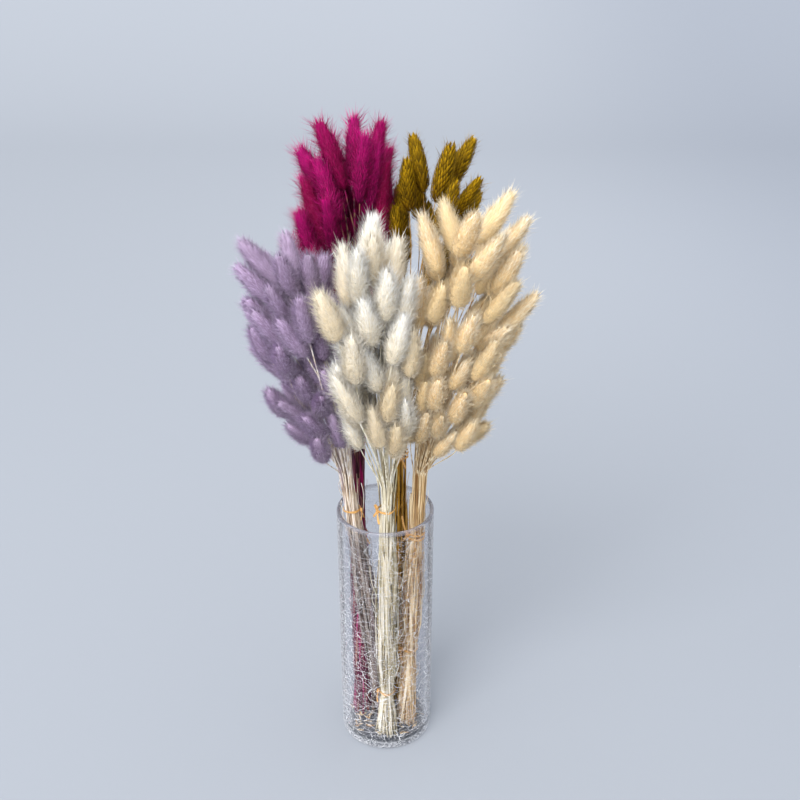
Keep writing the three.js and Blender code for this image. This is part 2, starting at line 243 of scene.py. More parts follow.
# The colours of the hair, as they look on screen, 0xRRGGBB. root, hair and tip follow one another
# along a hair; the darker root and the lighter tip are partly the hair's own colour and partly painted
# shade deep in the fur and painted highlight at the ends. A head takes the colour blushed
# between the two shares of its length in blush_at: most heads a darker, warmer base that
# is painted shade under the head, magenta a pinker top that is its dye. odd_one is the colour of some
# heads. blush and odd say how strongly those two show, and streak how
# much one tuft is lighter than the next, partly the tufts' own tone and partly painted light and shade.
HAIR_COLOURS = {
    "white": dict(
        root=0xF0E8D6, hair=0xFDFDFC, tip=0xFFFFFF, blushed=0xF6EAD0, odd_one=0xEEDDBA,
        blush_at=(0.8, 0.15), blush=0.5, odd=0.9, streak=0.34, sheen=0.5,
    ),
    "natural": dict(
        root=0xE8CC98, hair=0xFFF5E0, tip=0xFFF8E8, blushed=0xF0DAAC, odd_one=0xE4CEA0,
        blush_at=(0.7, 0.1), blush=0.5, odd=0.7, streak=0.36, sheen=0.5,
    ),
    "mustard": dict(
        root=0x402A00, hair=0x987404, tip=0xCEB224, blushed=0x805A06, odd_one=0x7C5E04,
        blush_at=(0.6, 0.0), blush=0.5, odd=0.5, streak=1.0, sheen=0.03,
    ),
    "magenta": dict(
        root=0x62003A, hair=0xB00462, tip=0xE070A8, blushed=0xC81480, odd_one=0x8A003E,
        blush_at=(0.4, 1.0), blush=0.6, odd=0.9, streak=0.8, sheen=0.06,
    ),
    "lavender": dict(
        root=0x9E86A4, hair=0xCCB6D6, tip=0xECE2F0, blushed=0xC2AEC8, odd_one=0xB29EB8,
        blush_at=(0.7, 0.1), blush=0.4, odd=0.6, streak=0.45, sheen=0.35,
    ),
}

# The colours of the straw: streaks from dark to light at the shares STREAK_AT, patches of another
# colour, and the colour below the vase's rim, partly the straw's tone and partly painted shade.
STREAK_AT = (0.36, 0.45, 0.54, 0.64)
STRAWS = {
    "white": dict(
        streaks=(0x74664A, 0xB2A482, 0xD4C9AE, 0xE8E2D2),
        patch=0xA69C6A, patch_share=0.6, below_rim_tone_and_shade=0xB4A47C, below_rim_tone_and_shade_share=0.15,
    ),
    "natural": dict(
        streaks=(0x7A5630, 0xBE9A68, 0xDCC094, 0xF0DFBE),
        patch=0x94683A, patch_share=0.7, below_rim_tone_and_shade=0xA88458, below_rim_tone_and_shade_share=0.1,
    ),
    "mustard": dict(
        streaks=(0x4A3006, 0x86600E, 0xAC7E20, 0xC89A48),
        patch=0x6A4A18, patch_share=0.7, below_rim_tone_and_shade=0x7A5614, below_rim_tone_and_shade_share=0.3,
    ),
    "magenta": dict(
        streaks=(0x220C16, 0x461A2E, 0x6E3448, 0x9C7256),
        patch=0xB00A68, patch_share=0.9, below_rim_tone_and_shade=0x8A1454, below_rim_tone_and_shade_share=0.35,
    ),
    "lavender": dict(
        streaks=(0x6E5850, 0xB69C84, 0xDCCAB2, 0xF0E8E0),
        patch=0xA896A4, patch_share=0.7, below_rim_tone_and_shade=0x4E3A38, below_rim_tone_and_shade_share=0.8,
    ),
}


# Layout

def chance(seed, index, kind):
    """A share from 0 to 1 for an index and a kind of draw, the same in every run."""
    value = np.sin(seed * 78.233 + index * 12.9898 + kind * 37.719) * 43758.5453
    return value - np.floor(value)


def mix(a, b, share):
    return a + (b - a) * share


def unit(vector):
    return vector / np.linalg.norm(vector, axis=-1, keepdims=True)


def dot(a, b):
    return np.sum(a * b, axis=-1, keepdims=True)


def towards(bearing):
    """The level heading at a bearing, which is 0 at the front and grows to the right."""
    return np.array([math.sin(bearing), -math.cos(bearing), 0.0])


def across(direction, hint):
    """Two headings square to a direction, the first one nearest to hint."""
    first = unit(hint - direction * dot(direction, hint))
    return first, np.cross(direction, first)


def keep_in_sector(points, bunch, margin):
    """Points kept inside the bunch's sector of the round, a margin away from its sides."""
    low, high = (math.radians(side) for side in bunch["sector"])
    for _ in range(CORNER_PASSES):
        for normal in (towards(low + math.pi / 2), towards(high - math.pi / 2)):
            short = np.maximum(margin - points @ normal, 0)
            points = points + short[:, None] * normal
    return points


def bundle_line(bunch):
    """The middle of the tied bundle: its foot, its neck and the heading up from one to the other."""
    low = np.array([*bunch["foot"], FLOOR + GAP])
    high = np.array([*bunch["neck"], float(NECK_HEIGHT)])
    return low, high, unit(high - low)


def bundle_radius(share):
    """The bundle's radius at a share of its rise."""
    shares, sizes = zip(*BUNDLE_PROFILE)
    return BUNDLE_RADIUS * np.interp(share, shares, sizes)


def crown_line(bunch, along):
    """Place and heading at a share of the curve from the neck by the shoulder to the crown."""
    points = bundle_line(bunch)[1], np.array(bunch["shoulder"], float), np.array(bunch["crown"], float)
    t = np.asarray(along, float)[..., None]
    place = (1 - t) ** 2 * points[0] + 2 * t * (1 - t) * points[1] + t * t * points[2]
    heading = unit((1 - t) * (points[1] - points[0]) + t * (points[2] - points[1]))
    return place, heading


def stem_controls(base, tip, root, bunch):
    """The control points of the free stems, from their roots in the bundle to their heads."""
    ahead = unit(tip - base)
    start = crown_line(bunch, 0.0)[1]
    rise = np.linalg.norm(base - root, axis=1, keepdims=True)
    controls = (root, root + start * rise * STEM_START, base - ahead * rise * STEM_END, base)
    return [keep_in_sector(point, bunch, STEM_RADIUS + GAP) for point in controls]


def bezier(controls, t):
    """The place at a share t of a curve with four control points."""
    a, b, c, d = controls
    return (1 - t) ** 3 * a + 3 * t * (1 - t) ** 2 * b + 3 * t * t * (1 - t) * c + t**3 * d


def dome(along, lowest):
    """How far out the heads reach: more up to WIDEST_LEVEL, and rounding off above it."""
    rising = mix(LOWEST_REACH, 1, (along - lowest) / (WIDEST_LEVEL - lowest))
    over = np.clip((along - WIDEST_LEVEL) / (DOME_TOP - WIDEST_LEVEL), 0, 1)
    return np.where(along < WIDEST_LEVEL, rising, np.sqrt(1 - over**2))


def stem_roots(base, along, bunch):
    """Where the free stems start, in the top of the bundle on the side of their heads."""
    _, neck, up = bundle_line(bunch)
    side = base - crown_line(bunch, along)[0]
    lean = np.minimum(1, np.linalg.norm(side, axis=1) / (along * bunch["reach"]))[:, None]
    side = unit(side - up * dot(side, up))
    return neck - up * STEM_SINK + side * (bundle_radius(1) - FLUTE_DEPTH - STEM_RADIUS) * lean


def pushes(centres, radii, heads, others, other_radii, other_heads):
    """How balls are pushed by the balls of other heads that they overlap, pair by pair."""
    away = centres[:, None] - others[None]
    distance = np.linalg.norm(away, axis=2)
    overlap = radii[:, None] + other_radii[None] - distance
    near = (overlap > 0) & (heads[:, None] != other_heads[None])
    return away / np.maximum(distance, 1e-9)[..., None] * (overlap * near)[..., None] * PUSH_SHARE


def spread_heads(base, tip, along, width, length, bunch):
    """The heads, pushed apart and off each other's stems in small steps."""
    count = len(base)
    heads = np.arange(count)
    ball_heads = np.tile(heads, len(BALL_SHARES))
    stem_heads = np.tile(heads, len(STEM_SHARES))
    radii = np.concatenate([width / 2 * (1 - HEAD_TAPER * share) for share in BALL_SHARES])
    for _ in range(CROWDING_PASSES):
        balls = np.concatenate([mix(base, tip, share) for share in BALL_SHARES])
        controls = stem_controls(base, tip, stem_roots(base, along, bunch), bunch)
        base = controls[3]
        stems = np.concatenate([bezier(controls, share) for share in STEM_SHARES])
        apart = pushes(balls, radii + HEAD_GAP, ball_heads, balls, radii, ball_heads)
        clear = pushes(
            balls, radii, ball_heads, stems, np.full(len(stems), STEM_CLEARANCE), stem_heads
        )
        ball_push = (apart.sum(1) + clear.sum(1)).reshape(len(BALL_SHARES), count, 3)
        stem_push = -clear.sum(0).reshape(len(STEM_SHARES), count, 3)
        for share, push in zip(BALL_SHARES, ball_push):
            base = base + push * (1 - share)
            tip = tip + push * share
        pulled = sum(push * share for share, push in zip(STEM_SHARES, stem_push)) * STEM_PULL
        base, tip = base + pulled, tip + pulled
        tip = base + unit(tip - base) * length[:, None]
        base = keep_in_sector(base, bunch, width / 2 + GAP)
        tip = keep_in_sector(tip, bunch, width / 2 + GAP)
    return base, tip


def head_places(bunch):
    """Where the heads of a bunch sit: base and tip of each, its width and its stem's root."""
    order = np.arange(bunch["heads"])

    def draw(kind):
        return chance(bunch["seed"], order, kind)

    rise = (order + 0.5) / bunch["heads"]
    along = mix(bunch["lowest"], 1, rise)
    place, heading = crown_line(bunch, along)
    first, second = across(heading, towards(math.radians(sum(bunch["sector"]) / 2)))
    spread = mix(STREWN[0], STREWN[1], rise * rise)
    turn = (spread * (2 * ((order * GOLDEN + draw(0) * BEARING_DRIFT) % 1) - 1))[:, None]
    radial = first * np.cos(turn) + second * np.sin(turn)
    stray = np.where(draw(1) < STRAY_SHARE, STRAY_REACH, 1)
    reach = bunch["reach"] * dome(along, bunch["lowest"]) * mix(*REACH_RANGE, draw(2)) * stray
    lean = bunch["flare"] * mix(*LEAN_RANGE, draw(3)) * mix(*LEAN_BY_RISE, rise)
    forward = np.maximum(0, -radial[:, 1]) * FORWARD_EASE
    sway = (SWAY * (2 * draw(6) - 1))[:, None] * np.cross(heading, radial)
    direction = unit(heading + radial * (lean * (1 - forward))[:, None] + sway)
    width = mix(*bunch["width"], mix(draw(4), rise, SIZE_BY_RISE))
    length = mix(*bunch["length"], mix(draw(5), rise, SIZE_BY_RISE))
    base = place + radial * (reach - length * BASE_INSET)[:, None]
    tip = base + direction * length[:, None]
    base, tip = spread_heads(base, tip, along, width, length, bunch)
    return dict(base=base, tip=tip, width=width, root=stem_roots(base, along, bunch))


# Materials

def dye(code):
    """A colour as it looks on screen, 0xRRGGBB, as the light values that a shader takes."""
    shares = [((code >> shift) & 255) / 255 for shift in (16, 8, 0)]
    return tuple(s / 12.92 if s <= 0.04045 else ((s + 0.055) / 1.055) ** 2.4 for s in shares)


class Value:
    """A socket of a finish's node, which can be reckoned with."""

    def __init__(self, finish, socket):
        self.finish, self.socket = finish, socket

    def maths(self, operation, *inputs):
        return self.finish.add("ShaderNodeMath", {"operation": operation}, dict(enumerate(inputs)))[0]

    def __add__(self, other):
        return self.maths("ADD", self, other)

    __radd__ = __add__

    def __sub__(self, other):
        return self.maths("SUBTRACT", self, other)

    def __rsub__(self, other):
        return self.maths("SUBTRACT", other, self)

    def __mul__(self, other):
        return self.maths("MULTIPLY", self, other)

    __rmul__ = __mul__

    def root(self):
        return self.maths("SQRT", self)

    def floor(self):
        return self.maths("FLOOR", self)

    def fraction(self):
        return self.maths("FRACT", self)

    def at_least(self, other):
        return self.maths("MAXIMUM", self, other)

    def bearing(self, forth):
        """The angle of a place that is self to the side and forth ahead."""
        return self.maths("ARCTAN2", self, forth)

    def between(self, low, high):
        """0 up to low, 1 from high, and a soft step between them. low may be above high."""
        ends = (low, high, 0, 1) if low < high else (high, low, 1, 0)
        step = {"Value": self} | dict(zip(("From Min", "From Max", "To Min", "To Max"), ends))
        return self.finish.add("ShaderNodeMapRange", {"interpolation_type": "SMOOTHSTEP"}, step)[0]


class Made:
    """A node of a finish. made[name or number] is one of its outputs."""

    def __init__(self, finish, node):
        self.finish, self.node = finish, node

    def __getitem__(self, key):
        return Value(self.finish, self.node.outputs[key])


class Finish:
    """A material under construction."""

    def __init__(self, name):
        self.material = bpy.data.materials.new(name)
        self.material.use_nodes = True
        self.tree = self.material.node_tree
        self.tree.nodes.clear()

    def add(self, kind, settings=None, inputs=None):
        node = self.tree.nodes.new(kind)
        for key, setting in (settings or {}).items():
            if key == "stops":
                self.set_stops(node.color_ramp, setting)
            else:
                setattr(node, key, setting)
        for key, value in (inputs or {}).items():
            socket = node.inputs[key]
            if isinstance(value, Value):
                self.tree.links.new(value.socket, socket)
            elif socket.type == "RGBA" and len(value) == 3:
                socket.default_value = (*value, 1)
            else:
                socket.default_value = value
        return Made(self, node)

    @staticmethod
    def set_stops(ramp, stops):
        while len(ramp.elements) < len(stops):
            ramp.elements.new(1)
        for element, (place, colour) in zip(ramp.elements, stops):
            element.position = place
            element.color = (*colour, 1)

    def ramp(self, value, stops):
        return self.add("ShaderNodeValToRGB", {"stops": stops}, {0: value})[0]

    def blend(self, share, a, b):
        """Colour a, turning into colour b with share."""
        return self.add("ShaderNodeMix", {"data_type": "RGBA"}, {0: share, 6: a, 7: b})[2]

    def brighten(self, colour, factor):
        return self.add(
            "ShaderNodeVectorMath", {"operation": "SCALE"}, {0: colour, "Scale": factor}
        )[0]

    def place(self, stretch=(1, 1, 1)):
        """The object's own coordinates, in metres times stretch."""
        own = self.add("ShaderNodeTexCoord")["Object"]
        return self.add("ShaderNodeMapping", {"vector_type": "POINT"}, {0: own, "Scale": stretch})[0]

    def parts(self, vector):
        """A vector's X, Y and Z."""
        return self.add("ShaderNodeSeparateXYZ", {}, {0: vector})

    def noise(self, vector, scale=1.0, detail=2.0, **more):
        values = {"Vector": vector, "Scale": scale, "Detail": detail} | more
        return self.add("ShaderNodeTexNoise", {"noise_dimensions": "3D"}, values)["Fac"]

    def drawn(self, number):
        """A share that is drawn anew for each whole number."""
        values = {"W": number.floor() * 0.37}
        return self.add("ShaderNodeTexWhiteNoise", {"noise_dimensions": "1D"}, values)["Value"]

    def bump(self, height, strength, distance):
        return self.add(
            "ShaderNodeBump", {}, {"Height": height, "Strength": strength, "Distance": distance}
        )[0]

    def shader(self, **sockets):
        named = {key.replace("_", " "): value for key, value in sockets.items()}
        return self.add("ShaderNodeBsdfPrincipled", {}, named)[0]

    def done(self, shader):
        self.add("ShaderNodeOutputMaterial", {}, {"Surface": shader})
        return self.material


def hair_finish(name, heads, colours):
    """Silky hair. On the strand map, across runs through the heads, from base to tip of each, and up
    runs along a hair."""
    f = Finish(name)
    named = ("root", "hair", "tip", "blushed", "odd_one")
    root, hair, tip, blushed, odd_one = (dye(colours[part]) for part in named)
    strand = f.parts(f.add("ShaderNodeUVMap", {"uv_map": "strand"})["UV"])
    across_all, out = strand["X"] * float(heads), strand["Y"]
    own, along = f.drawn(across_all), across_all.fraction()
    tuft = f.drawn(across_all * 260.0)
    # Darker towards each hair's root: partly the hair's own colour, partly painted shade deep in the fur.
    colour = f.blend(out.between(0.0, 0.75), root, hair)
    # Most heads turn darker and warmer at the base, which is painted shade under the head; magenta's top
    # turns pinker, which is its dye.
    colour = f.blend(along.between(*colours["blush_at"]) * colours["blush"], colour, blushed)
    colour = f.blend(own.between(0.5, 0.9) * colours["odd"], colour, odd_one)
    # Lighter towards the tips: partly the hair's own colour, partly painted highlight.
    colour = f.blend(out.between(0.7, 1.0) * 0.6, colour, tip)
    # Each tuft a little lighter or darker: partly the tufts' own tone, partly painted light and shade
    # between the locks.
    colour = f.brighten(colour, (tuft - 0.5) * colours["streak"] + 1.0)
    return f.done(
        f.shader(
            Base_Color=colour,
            Roughness=0.8,
            Specular_IOR_Level=0.15,
            Sheen_Weight=colours["sheen"],
            Sheen_Roughness=0.45,
            Sheen_Tint=(*tip, 1),
        )
    )


def straw_finish(name, streaks, patch, patch_share, below_rim_tone_and_shade, below_rim_tone_and_shade_share):
    """Dry stems: streaks along them, with patches of another colour, and below the rim a colour that is
    partly the straw's tone and partly painted shade in the vase. Each strand has its own shade, 0 dark
    to 1 light: a random tone, with painted shade and light on the stems."""
    f = Finish(name)
    own = f.add("ShaderNodeAttribute", {"attribute_name": "shade"})["Fac"]
    # The strand's shade moves it along the streaks: a random tone, and on the stems painted shade and light.
    streak = f.noise(f.place((520, 520, 14)), detail=3.0, Roughness=0.6) + (own - 0.5) * 0.34
    colour = f.ramp(streak, [(place, dye(code)) for place, code in zip(STREAK_AT, streaks)])
    cloud = f.noise(f.place((240, 240, 7)))
    colour = f.blend(cloud.between(0.56, 0.64) * patch_share, colour, dye(patch))
    height = f.parts(f.place())["Z"]
    # Painted shade in the vase: below the rim the colour turns, more on darker strands; partly the straw's
    # own tone.
    sunk = height.between(VASE_HEIGHT * MM, 0.86 * VASE_HEIGHT * MM) * (1.2 - own * 0.4)
    colour = f.blend(sunk * below_rim_tone_and_shade_share, colour, dye(below_rim_tone_and_shade))
    grain = f.noise(f.place((2400, 2400, 90)))
    colour = f.brighten(colour, (grain - 0.5) * 0.5 + 1.0)
    return f.done(
        f.shader(
            Base_Color=colour,
            Roughness=grain * 0.3 + 0.5,
            Specular_IOR_Level=0.3,
            Normal=f.bump(grain, 0.35, 0.0003),
        )
    )


def raffia_finish():
    """Dry palm fibre in flat strips, finely streaked."""
    f = Finish("raffia")
    fibre = f.noise(f.place((900, 900, 2600)), detail=3.0)
    stops = [(0.28, dye(0x9C6C34)), (0.5, dye(0xD7A25C)), (0.72, dye(0xF0C687))]
    return f.done(
        f.shader(
            Base_Color=f.ramp(fibre, stops),
            Roughness=fibre * 0.3 + 0.5,
            Specular_IOR_Level=0.3,
            Normal=f.bump(fibre, 0.5, 0.0003),
        )
    )


def glass_finish():
    """Clear glass with a net of fine cracks and rare painted glints, drawn on the outer wall's bearing and
    height. At the rim, at the foot and where the wall is seen edge on it takes a speckled painted grey
    that stands in for the light that the thick glass bends and reflects there. Lamps shine through it,
    so that the stems inside are lit."""
    f = Finish("crackle_glass")
    here = f.parts(f.place())
    side, back, height = (here[axis] for axis in "XYZ")
    bearing = side.bearing(back * -1.0)
    radius = (side * side + back * back).root()
    outside = radius.between((VASE_RADIUS - 2.5) * MM, (VASE_RADIUS - 1.5) * MM)

    def net(scale, drift, lean, line):
        """Thin lines between the cells of a drifting, leaning net."""
        swerve = f.noise(f.place(), 55.0) * drift
        spot = f.add("ShaderNodeCombineXYZ", {}, {
            0: bearing * (VASE_RADIUS * MM * 0.62) + height * lean + swerve,
            1: height * 1.2 + swerve * 0.7,
        })[0]
        settings = {"feature": "DISTANCE_TO_EDGE", "voronoi_dimensions": "2D"}
        cells = f.add("ShaderNodeTexVoronoi", settings, {"Vector": spot, "Scale": scale})["Distance"]
        return cells.between(line, line * 0.35)

    worn = f.noise(f.place(), 120.0)
    coarse = net(90.0, 0.016, 0.3, 0.018) * worn.between(0.3, 0.42)
    middle = net(150.0, 0.014, -0.4, 0.024) * worn.between(0.6, 0.52)
    fine = net(320.0, 0.006, 0.2, 0.04) * f.noise(f.place(), 200.0, detail=1.0).between(0.6, 0.64)
    denser = height.between(VASE_HEIGHT * MM, 0.3 * VASE_HEIGHT * MM) * 0.3 + 0.7
    # Painted glints: rare white specks where light would catch the glass.
    glint = f.noise(f.place(), 900.0, detail=1.0).between(0.66, 0.72)
    cracks_and_glints = coarse.at_least(middle * 0.8).at_least(fine * 0.6).at_least(glint) * denser
    cracks_and_glints = cracks_and_glints * height.between((VASE_HEIGHT - 3) * MM, (VASE_HEIGHT - 9) * MM) * outside
    rim = height.between((VASE_HEIGHT - 4.5) * MM, (VASE_HEIGHT - 3.5) * MM)
    foot = height.between((FLOOR + 3) * MM, FLOOR * 0.7 * MM)
    speckle = f.noise(f.place(), 420.0)
    # Painted reflection: at the rim, at the foot and where the wall is seen edge on, a speckled grey stands
    # in for the light that the thick glass bends and reflects.
    edge = f.add("ShaderNodeLayerWeight", {}, {"Blend": 0.5})["Facing"].between(0.4, 0.9)
    speckled_painted_reflection = rim * 0.3 + foot * (speckle.between(0.42, 0.6) * 0.4 + 0.12)
    speckled_painted_reflection = speckled_painted_reflection + edge * outside * (speckle.between(0.45, 0.6) * 0.4 + 0.28)
    clear = f.shader(
        Base_Color=(0.88, 0.88, 0.9, 1),
        Roughness=0.0,
        IOR=1.12,
        Specular_IOR_Level=0.9,
        Transmission_Weight=1.0,
        Normal=f.bump(cracks_and_glints, 0.2, 0.0003),
    )
    # White at the cracks and glints, a dull painted grey elsewhere and a darker painted grey at the rim.
    grey = f.blend(rim, f.blend(cracks_and_glints, (0.74, 0.75, 0.79), (0.97, 0.97, 0.99)), (0.36, 0.36, 0.42))
    crack_and_painted_reflection_shader = f.shader(Base_Color=grey, Roughness=0.2, Specular_IOR_Level=0.8)
    body = f.add("ShaderNodeMixShader", {}, {0: cracks_and_glints.at_least(speckled_painted_reflection), 1: clear, 2: crack_and_painted_reflection_shader})[0]
    lamp_ray = f.add("ShaderNodeLightPath")["Is Shadow Ray"]
    through = f.add("ShaderNodeBsdfTransparent", {}, {"Color": (0.7, 0.705, 0.72, 1)})[0]
    return f.done(f.add("ShaderNodeMixShader", {}, {0: lamp_ray, 1: body, 2: through})[0])


def paper_finish():
    """The pale floor and its raised back, with painted shade that makes it a little darker to the right."""
    f = Finish("pale_paper")
    # Painted shade: darker towards the right, away from the key light.
    painted_shade_rightwards = f.parts(f.place())["X"].between(0.1, 1.6)
    colour = f.blend(painted_shade_rightwards, (0.336, 0.358, 0.398), (0.283, 0.306, 0.352))
    return f.done(f.shader(Base_Color=colour, Roughness=0.95, Specular_IOR_Level=0.1))


# Shared shaping

def added(name, data):
    """A new object of the data, in the scene."""
    piece = bpy.data.objects.new(name, data)
    bpy.context.collection.objects.link(piece)
    return piece


def choose(*pieces):
    """Selects these pieces alone, the first as the active one."""
    bpy.ops.object.select_all(action="DESELECT")
    for piece in pieces:
        piece.select_set(True)
    bpy.context.view_layer.objects.active = pieces[0]


def finished(piece, name, finish, slot, *nodes):
    """Names a piece, gives it its finish, and lets it ride on the vase and stand for the nodes."""
    piece.name = name
    piece.data.name = name
    piece.data.materials.clear()
    piece.data.materials.append(finish)
    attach(piece, "root")
    if nodes:
        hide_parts(*nodes)
    bpy.ops.object.select_all(action="DESELECT")
    return piece


def start_editing(piece):
    choose(piece)
    bpy.ops.object.mode_set(mode="EDIT")


def stop_editing():
    bpy.ops.object.mode_set(mode="OBJECT")


def pick(kind, wanted):
    """Selects the verts, edges or faces of the mesh in edit mode for which wanted(item) holds."""
    bpy.ops.mesh.select_mode(type={"verts": "VERT", "edges": "EDGE", "faces": "FACE"}[kind])
    bpy.ops.mesh.select_all(action="DESELECT")
    shape = bmesh.from_edit_mesh(bpy.context.object.data)
    for item in getattr(shape, kind):
        item.select = bool(wanted(item))
    shape.select_flush_mode()
    bmesh.update_edit_mesh(bpy.context.object.data)


def extrude(x, y, z):
    bpy.ops.mesh.extrude_region_move(TRANSFORM_OT_translate={"value": (x, y, z)})


def round_off(wanted, offset, segments):
    """Rounds off the edges for which wanted(edge) holds."""
    pick("edges", wanted)
    bpy.ops.mesh.bevel(offset=offset, segments=segments, affect="EDGES")


def smooth(degrees):
    bpy.ops.object.shade_smooth_by_angle(angle=math.radians(degrees))


def pattern(piece):
    """Points and triangles of a small shape that was modelled to be copied, which is then removed."""
    piece.data.calc_loop_triangles()
    points = np.array([v.co[:] for v in piece.data.vertices])
    faces = np.array([t.vertices[:] for t in piece.data.loop_triangles])
    bpy.data.objects.remove(piece)
    return points, faces


def joined(name, parts):
    """One mesh from parts, each (points, faces, map, outward) with points of shape copies, points, 3."""
    points, faces, strand, outward, start = [], [], [], [], 0
    for part_points, part_faces, part_map, part_outward in parts:
        copies, each = part_points.shape[:2]
        points.append(part_points.reshape(-1, 3))
        strand.append(part_map.reshape(-1, 2))
        outward.append(part_outward.reshape(-1, 3))
        steps = start + each * np.arange(copies)[:, None, None]
        faces.append((part_faces[None] + steps).reshape(-1, 3))
        start += copies * each
    points, faces, strand, outward = map(np.concatenate, (points, faces, strand, outward))
    mesh = bpy.data.meshes.new(name)
    mesh.vertices.add(len(points))
    mesh.vertices.foreach_set("co", (points * MM).ravel())
    mesh.loops.add(faces.size)
    mesh.loops.foreach_set("vertex_index", faces.ravel())
    mesh.polygons.add(len(faces))
    mesh.polygons.foreach_set("loop_start", np.arange(0, faces.size, 3))
    mesh.update(calc_edges=True)
    for map_name in ("strand", "OFBake"):
        layer = mesh.uv_layers.new(name=map_name, do_init=False)
        layer.uv.foreach_set("vector", strand[faces.ravel()].ravel())
    mesh.polygons.foreach_set("use_smooth", np.ones(len(faces), bool))
    mesh.normals_split_custom_set_from_vertices(outward)
    return added(name, mesh)


# Heads

def flat_square():
    """A flat square in edit mode, one wide and one long, as the start of a hair or a scale."""
    bpy.ops.mesh.primitive_plane_add(size=1, location=(0, 0, 0))
    start_editing(bpy.context.object)
    return bpy.context.object


def beyond(y):
    """Picks the edges that lie further along than y."""
    pick("edges", lambda edge: all(v.co.y > y for v in edge.verts))


def to_a_point(y, z):
    """Draws the picked edges out by y and z, to one point."""
    extrude(0, y, z)
    bpy.ops.mesh.merge(type="CENTER")


def spike():
    """A short hair: straight, from a root edge to a point, one wide and one long."""
    hair = flat_square()
    bpy.ops.transform.translate(value=(0, 0.5, 0))
    beyond(0.9)
    bpy.ops.mesh.merge(type="CENTER")
    stop_editing()
    return pattern(hair)


def blade():
    """A long hair: a strip that can bend, from a root edge to a point, one wide and one long."""
    hair = flat_square()
    bpy.ops.transform.resize(value=(1, 0.5, 1))
    bpy.ops.transform.translate(value=(0, 0.25, 0))
    beyond(0.4)
    bpy.ops.transform.resize(value=(0.85, 1, 1))
    to_a_point(0.5, 0)
    stop_editing()
    return pattern(hair)


def husk():
    """A scale of a coarse head: a pointed, keeled leaf, one wide and one long."""
    scale = flat_square()
    bpy.ops.transform.resize(value=(1, 0.4, 1))
    bpy.ops.transform.translate(value=(0, 0.45, 0))
    pick("edges", lambda edge: abs(edge.verts[0].co.x - edge.verts[1].co.x) > 0.5)
    bpy.ops.mesh.subdivide(number_cuts=1)
    pick("verts", lambda v: abs(v.co.x) < 0.1)
    bpy.ops.transform.translate(value=(0, 0, 0.22))
    beyond(0.6)
    to_a_point(0.35, -0.1)
    pick("edges", lambda edge: all(0.2 < v.co.y < 0.3 for v in edge.verts))
    to_a_point(-0.25, -0.1)
    stop_editing()
    return pattern(scale)


def head_core(sides=12, rings=8):
    """The closed body under the hair: one in radius and one long, before it takes a head's outline."""
    bpy.ops.mesh.primitive_circle_add(vertices=sides, radius=1, fill_type="TRIFAN", location=(0, 0, 0))
    core = bpy.context.object
    start_editing(core)
    for _ in range(rings):
        top = max(v.co.z for v in bmesh.from_edit_mesh(core.data).verts)
        pick("verts", lambda v, top=top: v.co.z > top - 0.01)
        extrude(0, 0, 1 / rings)
    bpy.ops.mesh.select_all(action="SELECT")
    bpy.ops.mesh.normals_make_consistent(inside=False)
    stop_editing()
    return pattern(core)


def outline(share, waist, fill):
    """The body's radius at a share of its length, as a share of the greatest."""
    return np.sin(math.pi * np.clip(share, 1e-4, 1 - 1e-4) ** waist) ** fill


def laid(shape, root, start, end, side, face, length, width):
    """Copies of a small shape, bent from the heading start to the heading end."""
    points, _ = shape
    x, y, z = (points[:, k][None, :, None] for k in range(3))
    root, start, end, side, face = (v[:, None] for v in (root, start, end, side, face))
    length, width = length[:, None, None], width[:, None, None]
    middle = root + start * length * 0.5
    last = middle + end * length * 0.5
    line = (1 - y) ** 2 * root + 2 * y * (1 - y) * middle + y * y * last
    return line + side * x * width + face * z * width


